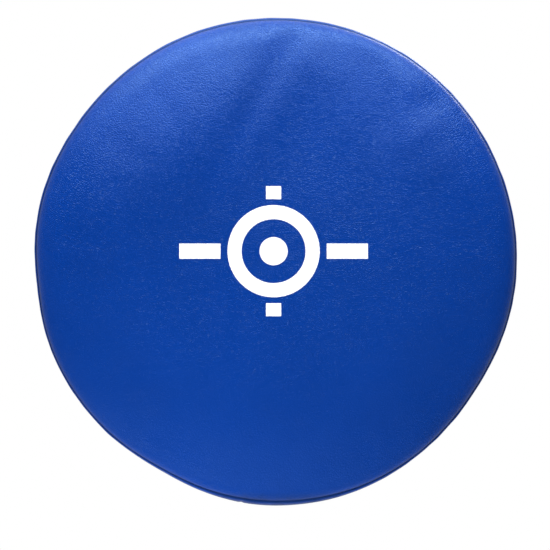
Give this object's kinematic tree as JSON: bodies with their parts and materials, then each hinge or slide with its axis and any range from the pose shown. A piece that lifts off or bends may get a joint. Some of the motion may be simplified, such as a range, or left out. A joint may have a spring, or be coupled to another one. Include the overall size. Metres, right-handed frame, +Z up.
{
  "type": "round kick shield",
  "caption": "Round padded target for kicks, with a flat leatherette face, foam filling, a zipped back and padded web handles.",
  "frame": {"origin": "centre of the flat strike face", "axes": "+Z up as the holder carries it, +Y through the shield from the strike face to the handles, +X to the right as the kicker sees it"},
  "size_m": [0.4506, 0.164, 0.45],
  "materials": {
    "face_leatherette": "pebble grained",
    "black_webbing": "ribbed weave",
    "grip_leatherette": "pebble grained",
    "soft_foam": "open-cell foam",
    "dense_foam": "closed-cell foam",
    "board": "plain board",
    "zip_tape": "woven tape",
    "zip_coil": "nylon coil",
    "zip_metal": "black enamel",
    "plated_steel": "nickel plated"
  },
  "bodies": {
    "pad": {"front_cover": "face_leatherette", "side_band": "face_leatherette", "back_cover": "face_leatherette", "lower_rim_panel": "face_leatherette", "impact_foam": "soft_foam", "core_foam": "dense_foam", "rear_foam": "soft_foam", "handle_board": "board", "zip_tape_inner": "zip_tape", "zip_tape_outer": "zip_tape", "zip_coil_inner": "zip_coil", "zip_coil_outer": "zip_coil", "zip_stops": "zip_metal", "zip_end_tabs": "face_leatherette", "vent_eyelets": "plated_steel", "vent_washers": "plated_steel", "handle_rivets": "plated_steel", "rivet_washers": "plated_steel", "left_upper_sewn_end": "black_webbing", "left_upper_patch": "face_leatherette", "left_lower_sewn_end": "black_webbing", "left_lower_patch": "face_leatherette", "right_upper_sewn_end": "black_webbing", "right_upper_patch": "face_leatherette", "right_lower_sewn_end": "black_webbing", "right_lower_patch": "face_leatherette"},
    "left_handle": {"left_handle_webbing": "black_webbing", "left_grip_foam": "soft_foam", "left_grip_sleeve": "grip_leatherette"},
    "right_handle": {"right_handle_webbing": "black_webbing", "right_grip_foam": "soft_foam", "right_grip_sleeve": "grip_leatherette"},
    "zip_slider": {"zip_slider": "zip_metal"},
    "zip_pull": {"zip_pull": "zip_metal"}
  },
  "joints": [
    {"name": "left_handle_swing", "type": "hinge", "parent": "pad", "child": "left_handle", "pos_m": [-0.075, 0.115, 0], "axis": [0, 0, 1], "range_deg": [-65, 65]},
    {"name": "right_handle_swing", "type": "hinge", "parent": "pad", "child": "right_handle", "pos_m": [0.075, 0.115, 0], "axis": [0, 0, 1], "range_deg": [-65, 65]},
    {"name": "zip_slide", "type": "hinge", "parent": "pad", "child": "zip_slider", "pos_m": [0, 0.1, 0], "axis": [0, 1, 0], "range_deg": [0, 177.73]},
    {"name": "zip_pull_flip", "type": "hinge", "parent": "zip_slider", "child": "zip_pull", "pos_m": [0.19596, 0.10455, -0.00389], "axis": [0.9998, 0, -0.0198], "range_deg": [-4, 183]}
  ]
}
